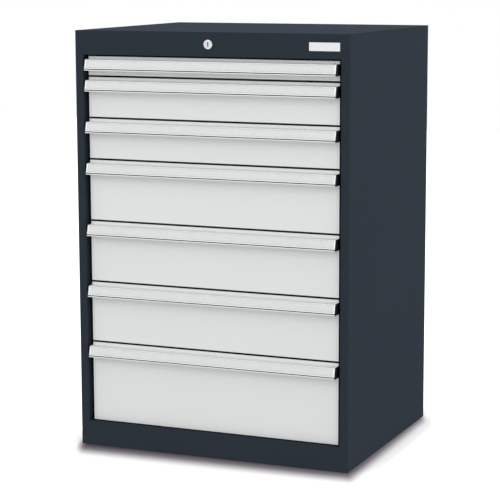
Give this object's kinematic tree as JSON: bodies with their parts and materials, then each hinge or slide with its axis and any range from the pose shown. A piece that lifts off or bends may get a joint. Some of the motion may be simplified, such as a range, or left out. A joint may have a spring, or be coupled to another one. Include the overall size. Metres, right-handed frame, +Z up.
{
  "type": "multi-drawer cabinet",
  "caption": "Floor-standing steel drawer cabinet: folded carcass, full-width handle profiles with label channels, trays on telescopic runners and a key lock that bars every drawer.",
  "frame": {"origin": "centre of the base on the floor", "axes": "+Z up, drawers open towards -Y, +X to the right as seen from the front"},
  "size_m": [0.7, 0.5933, 1.019],
  "materials": {
    "carcass_paint": "fine-textured powder coat, satin",
    "front_paint": "smooth powder coat, satin",
    "handle_paint": "smooth powder coat, satin",
    "tray_paint": "smooth powder coat, satin",
    "end_cap_plastic": "fine grain, matte",
    "rail_zinc": "zinc plated",
    "lock_zinc": "zinc plated",
    "lock_chrome": "satin chrome",
    "plug_metal": "turned, satin",
    "badge_metal": "bare plate, satin",
    "rivet_metal": "satin"
  },
  "bodies": {
    "cabinet": {"top_cover": "carcass_paint", "base_pan": "carcass_paint", "side_panel_left": "carcass_paint", "side_panel_right": "carcass_paint", "rear_panel": "carcass_paint", "rear_rivets": "rivet_metal", "rail_columns": "rail_zinc", "cabinet_rails_left": "rail_zinc", "cabinet_rails_right": "rail_zinc", "lock_housing": "lock_chrome", "lock_nut": "lock_zinc", "rod_bracket": "lock_zinc", "lock_post": "lock_zinc", "bar_guides": "lock_zinc", "badge_plate": "badge_metal"},
    "drawer_1": {"drawer_1_front": "front_paint", "drawer_1_tray": "tray_paint", "drawer_1_handle": "handle_paint", "drawer_1_end_caps": "end_cap_plastic", "drawer_1_rails": "rail_zinc"},
    "runner_1": {"runner_1": "rail_zinc"},
    "drawer_2": {"drawer_2_front": "front_paint", "drawer_2_tray": "tray_paint", "drawer_2_handle": "handle_paint", "drawer_2_end_caps": "end_cap_plastic", "drawer_2_rails": "rail_zinc"},
    "runner_2": {"runner_2": "rail_zinc"},
    "drawer_3": {"drawer_3_front": "front_paint", "drawer_3_tray": "tray_paint", "drawer_3_handle": "handle_paint", "drawer_3_end_caps": "end_cap_plastic", "drawer_3_rails": "rail_zinc"},
    "runner_3": {"runner_3": "rail_zinc"},
    "drawer_4": {"drawer_4_front": "front_paint", "drawer_4_tray": "tray_paint", "drawer_4_handle": "handle_paint", "drawer_4_end_caps": "end_cap_plastic", "drawer_4_rails": "rail_zinc"},
    "runner_4": {"runner_4": "rail_zinc"},
    "drawer_5": {"drawer_5_front": "front_paint", "drawer_5_tray": "tray_paint", "drawer_5_handle": "handle_paint", "drawer_5_end_caps": "end_cap_plastic", "drawer_5_rails": "rail_zinc"},
    "runner_5": {"runner_5": "rail_zinc"},
    "drawer_6": {"drawer_6_front": "front_paint", "drawer_6_tray": "tray_paint", "drawer_6_handle": "handle_paint", "drawer_6_end_caps": "end_cap_plastic", "drawer_6_rails": "rail_zinc"},
    "runner_6": {"runner_6": "rail_zinc"},
    "drawer_7": {"drawer_7_front": "front_paint", "drawer_7_tray": "tray_paint", "drawer_7_handle": "handle_paint", "drawer_7_end_caps": "end_cap_plastic", "drawer_7_rails": "rail_zinc"},
    "runner_7": {"runner_7": "rail_zinc"},
    "lock": {"lock_plug": "plug_metal", "lock_rod": "lock_zinc"},
    "lock_bar": {"lock_bar": "lock_zinc"}
  },
  "joints": [
    {"name": "drawer_1_slide", "type": "slide", "parent": "cabinet", "child": "drawer_1", "axis": [0, -1, 0], "range_m": [0, 0.45]},
    {"name": "runner_1_slide", "type": "slide", "parent": "cabinet", "child": "runner_1", "axis": [0, -1, 0], "range_m": [0, 0.2255]},
    {"name": "drawer_2_slide", "type": "slide", "parent": "cabinet", "child": "drawer_2", "axis": [0, -1, 0], "range_m": [0, 0.45]},
    {"name": "runner_2_slide", "type": "slide", "parent": "cabinet", "child": "runner_2", "axis": [0, -1, 0], "range_m": [0, 0.2255]},
    {"name": "drawer_3_slide", "type": "slide", "parent": "cabinet", "child": "drawer_3", "axis": [0, -1, 0], "range_m": [0, 0.45]},
    {"name": "runner_3_slide", "type": "slide", "parent": "cabinet", "child": "runner_3", "axis": [0, -1, 0], "range_m": [0, 0.2255]},
    {"name": "drawer_4_slide", "type": "slide", "parent": "cabinet", "child": "drawer_4", "axis": [0, -1, 0], "range_m": [0, 0.45]},
    {"name": "runner_4_slide", "type": "slide", "parent": "cabinet", "child": "runner_4", "axis": [0, -1, 0], "range_m": [0, 0.2255]},
    {"name": "drawer_5_slide", "type": "slide", "parent": "cabinet", "child": "drawer_5", "axis": [0, -1, 0], "range_m": [0, 0.45]},
    {"name": "runner_5_slide", "type": "slide", "parent": "cabinet", "child": "runner_5", "axis": [0, -1, 0], "range_m": [0, 0.2255]},
    {"name": "drawer_6_slide", "type": "slide", "parent": "cabinet", "child": "drawer_6", "axis": [0, -1, 0], "range_m": [0, 0.45]},
    {"name": "runner_6_slide", "type": "slide", "parent": "cabinet", "child": "runner_6", "axis": [0, -1, 0], "range_m": [0, 0.2255]},
    {"name": "drawer_7_slide", "type": "slide", "parent": "cabinet", "child": "drawer_7", "axis": [0, -1, 0], "range_m": [0, 0.45]},
    {"name": "runner_7_slide", "type": "slide", "parent": "cabinet", "child": "runner_7", "axis": [0, -1, 0], "range_m": [0, 0.2255]},
    {"name": "lock_turn", "type": "hinge", "parent": "cabinet", "child": "lock", "pos_m": [0, -0.29, 0.9902], "axis": [0, 1, 0], "range_deg": [0, 90]},
    {"name": "lock_bar_lift", "type": "slide", "parent": "cabinet", "child": "lock_bar", "axis": [0, 0, 1], "range_m": [0, 0.01414]}
  ],
  "couplings": [
    {"joint": "runner_1_slide", "follows": "drawer_1_slide", "ratio": 0.5},
    {"joint": "runner_2_slide", "follows": "drawer_2_slide", "ratio": 0.5},
    {"joint": "runner_3_slide", "follows": "drawer_3_slide", "ratio": 0.5},
    {"joint": "runner_4_slide", "follows": "drawer_4_slide", "ratio": 0.5},
    {"joint": "runner_5_slide", "follows": "drawer_5_slide", "ratio": 0.5},
    {"joint": "runner_6_slide", "follows": "drawer_6_slide", "ratio": 0.5},
    {"joint": "runner_7_slide", "follows": "drawer_7_slide", "ratio": 0.5},
    {"joint": "lock_turn", "follows": "lock_bar_lift", "rad_per_m": 111.07}
  ]
}
